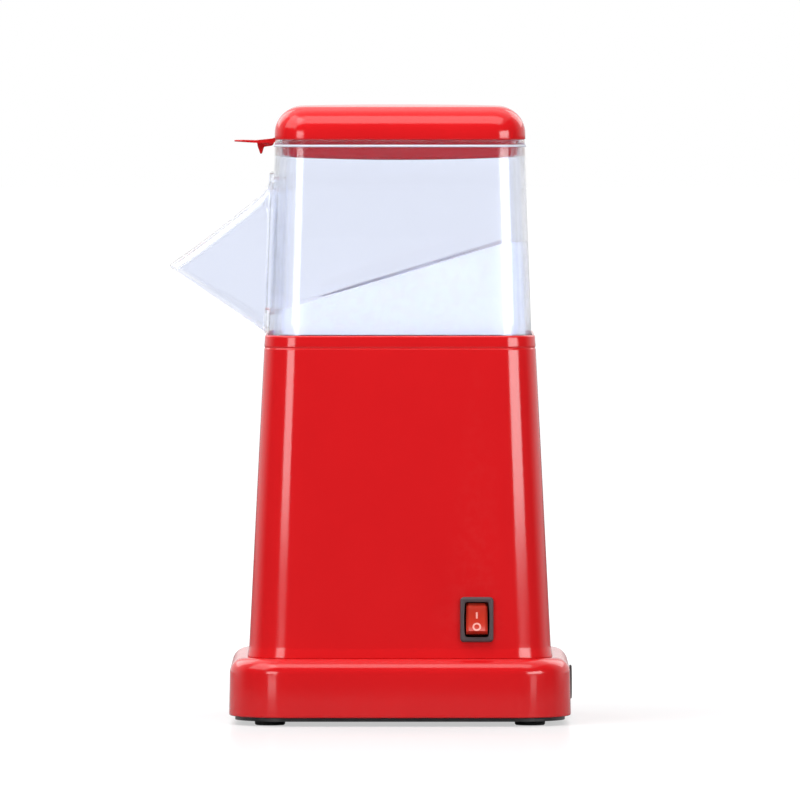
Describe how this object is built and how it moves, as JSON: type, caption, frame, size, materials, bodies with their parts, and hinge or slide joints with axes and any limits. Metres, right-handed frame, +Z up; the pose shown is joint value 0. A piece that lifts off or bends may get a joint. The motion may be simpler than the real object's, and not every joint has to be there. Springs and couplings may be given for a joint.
{
  "type": "hot-air popcorn maker",
  "caption": "Upright hot-air popcorn maker: rounded tapered body on a plinth, clear housing with a ramp, pull-off spout hood, lift-off lid and rocker switch.",
  "frame": {"origin": "centre of the whole outline, on the resting plane", "axes": "+Z up, the spout points along -X, the switch is on the -Y side"},
  "size_m": [0.1868, 0.15, 0.286],
  "materials": {
    "red_plastic": "glossy red moulded ABS",
    "clear_plastic": "clear polycarbonate",
    "milky_plastic": "milky translucent polycarbonate",
    "black_plastic": "fine-textured black moulding",
    "black_rubber": "soft black rubber",
    "screw_steel": "zinc-plated steel",
    "switch_grey": "dark grey moulded nylon",
    "switch_red": "translucent orange-red rocker",
    "contact_brass": "bare brass",
    "lamp_glass": "small neon lamp",
    "chamber_aluminium": "spun aluminium",
    "heat_plastic": "black heat-resistant moulding",
    "heater_steel": "plain rolled steel",
    "mica_sheet": "pressed mica sheet",
    "heating_wire": "dull nickel-chrome wire",
    "carbon": "pressed carbon",
    "ferrite": "dark ferrite",
    "shaft_steel": "ground steel",
    "board_laminate": "brown laminate board"
  },
  "bodies": {
    "root": {"base_plinth": "red_plastic", "body_shell": "red_plastic", "bottom_cover": "black_plastic", "rubber_feet": "black_rubber", "cord_gland": "black_rubber", "cover_screws": "screw_steel", "shell_screws": "screw_steel", "collar_screws": "screw_steel", "duct_screws": "screw_steel", "motor_screws": "screw_steel", "switch_housing": "switch_grey", "switch_terminals": "contact_brass", "neon_lamp": "lamp_glass", "popping_chamber": "chamber_aluminium", "chamber_collar": "heat_plastic", "heater_shell": "heater_steel", "mica_liner": "mica_sheet", "mica_frame": "mica_sheet", "heating_coil": "heating_wire", "thermostat": "heater_steel", "thermal_fuse": "heater_steel", "fan_duct": "heat_plastic", "motor_can": "heater_steel", "motor_end_cap": "heat_plastic", "motor_brushes": "carbon", "motor_magnets": "ferrite", "motor_bearings": "contact_brass", "circuit_board": "board_laminate", "rectifier_diodes": "black_plastic", "capacitor": "black_plastic"},
    "housing": {"clear_housing": "clear_plastic", "popcorn_ramp": "milky_plastic"},
    "hood": {"spout_hood": "clear_plastic"},
    "lid": {"lid": "red_plastic", "lid_plug": "red_plastic"},
    "rocker": {"switch_rocker": "switch_red"},
    "rotor": {"motor_shaft": "shaft_steel", "armature": "heater_steel", "commutator": "contact_brass", "impeller": "heat_plastic"}
  },
  "joints": [
    {"name": "housing_lift", "type": "slide", "parent": "root", "child": "housing", "axis": [0, 0, 1], "range_m": [0, 0.05]},
    {"name": "hood_pull", "type": "slide", "parent": "housing", "child": "hood", "axis": [-1, 0, 0], "range_m": [0, 0.04]},
    {"name": "lid_lift", "type": "slide", "parent": "housing", "child": "lid", "axis": [0, 0, 1], "range_m": [0, 0.05]},
    {"name": "rocker_press", "type": "hinge", "parent": "root", "child": "rocker", "pos_m": [0.04875, -0.06209, 0.04885], "axis": [-1, 0, 0], "range_deg": [0, 20]},
    {"name": "fan_spin", "type": "hinge", "parent": "root", "child": "rotor", "pos_m": [0.01335, 0, 0.04], "axis": [0, 0, 1], "continuous": true}
  ]
}
